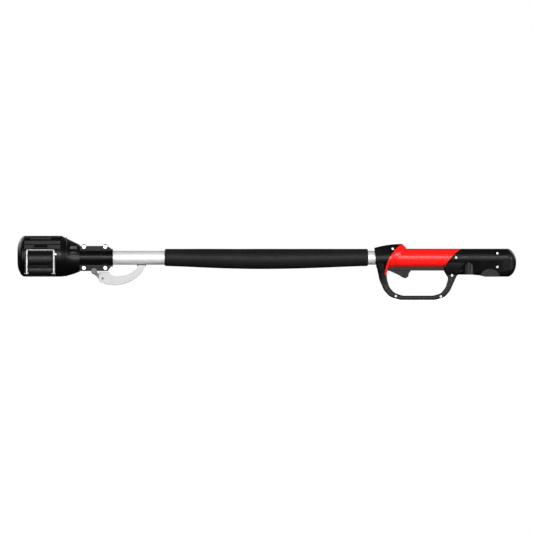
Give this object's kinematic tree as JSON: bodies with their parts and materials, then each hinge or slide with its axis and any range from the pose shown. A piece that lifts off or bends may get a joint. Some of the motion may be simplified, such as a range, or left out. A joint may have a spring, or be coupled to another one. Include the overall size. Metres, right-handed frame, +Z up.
{
  "type": "reacher grabber",
  "caption": "Long-reach grabber: pole with a foam sleeve, red trigger handle with a hand guard, a sprung hook finger and a round head with a wire-bailed bay door.",
  "frame": {"origin": "centre of the nose socket's mouth, on the head's axis", "axes": "+X along the pole from the nose to the butt, +Z up away from the hand guard, -Y towards the side with the bay door"},
  "size_m": [0.9143, 0.0796, 0.1177],
  "materials": {
    "head_plastic": "satin black moulding",
    "handle_plastic": "satin black moulding",
    "red_plastic": "bright red moulding",
    "pale_tube": "satin anodised, very pale",
    "light_alloy": "drawn bar, plain",
    "foam": "closed-cell foam",
    "pale_plastic": "pale grey moulding",
    "soft_rubber": "matt",
    "guide_plastic": "natural nylon",
    "steel": "bright drawn wire",
    "steel_dark": "blackened",
    "screw_zinc": "bright zinc plate"
  },
  "bodies": {
    "frame": {"head_shell_near": "head_plastic", "head_shell_far": "head_plastic", "nose_ring": "head_plastic", "socket_sleeve": "head_plastic", "barrel_screw": "screw_zinc", "door_hinge_pin": "steel", "bail_catch": "head_plastic", "clamp_screws": "screw_zinc", "clamp_washers": "screw_zinc", "clamp_nuts": "screw_zinc", "finger_pivot_bolt": "steel_dark", "finger_pivot_washer": "screw_zinc", "finger_pivot_nut": "screw_zinc", "tip_rest": "soft_rubber", "pole_tube": "pale_tube", "tube_plug": "head_plastic", "rod_guides": "guide_plastic", "return_spring": "steel", "foam_grip": "foam", "handle_shell_near": "handle_plastic", "handle_shell_far": "handle_plastic", "handle_screws": "screw_zinc", "trigger_pin": "steel", "crank_pin": "steel", "tube_lock_pin": "steel", "red_grip": "red_plastic", "end_cap": "handle_plastic", "strap_socket": "handle_plastic"},
    "trigger": {"trigger": "handle_plastic"},
    "crank": {"bell_crank": "steel_dark"},
    "rod": {"pull_rod": "light_alloy", "rod_clevis_front": "light_alloy", "rod_clevis_rear": "light_alloy", "rod_pins": "steel", "rod_collar": "light_alloy"},
    "finger": {"finger": "pale_plastic", "finger_lever": "steel_dark", "finger_rivet": "steel_dark"},
    "door": {"bay_door": "head_plastic", "door_pad": "soft_rubber"},
    "bail": {"wire_bail": "steel"}
  },
  "joints": [
    {"name": "trigger_pull", "type": "hinge", "parent": "frame", "child": "trigger", "pos_m": [0.682, 0, -0.0218], "axis": [0, -1, 0], "range_deg": [0, 20], "stiffness_Nm_per_rad": 0.25, "springref_deg": -20.05},
    {"name": "crank_turn", "type": "hinge", "parent": "frame", "child": "crank", "pos_m": [0.724, 0, -0.0178], "axis": [0, 1, 0], "range_deg": [0, 44.2]},
    {"name": "rod_slide", "type": "slide", "parent": "frame", "child": "rod", "axis": [1, 0, 0], "range_m": [0, 0.00972], "deforming": ["return_spring"]},
    {"name": "finger_swing", "type": "hinge", "parent": "frame", "child": "finger", "pos_m": [0.1404, 0, -0.0276], "axis": [0, 1, 0], "range_deg": [0, 25.2]},
    {"name": "bail_swing", "type": "hinge", "parent": "frame", "child": "bail", "pos_m": [0.042, -0.0376, -0.0315], "axis": [1, 0, 0], "range_deg": [0, 115]},
    {"name": "door_swing", "type": "hinge", "parent": "frame", "child": "door", "pos_m": [0.042, -0.0376, -0.0315], "axis": [1, 0, 0], "range_deg": [0, 92.2]}
  ],
  "couplings": [
    {"joint": "crank_turn", "follows": "trigger_pull", "ratio": 2.2},
    {"joint": "rod_slide", "follows": "trigger_pull", "m_per_rad": 0.027788},
    {"joint": "finger_swing", "follows": "trigger_pull", "ratio": 1.2545},
    {"joint": "door_swing", "follows": "bail_swing", "ratio": 0.8}
  ]
}
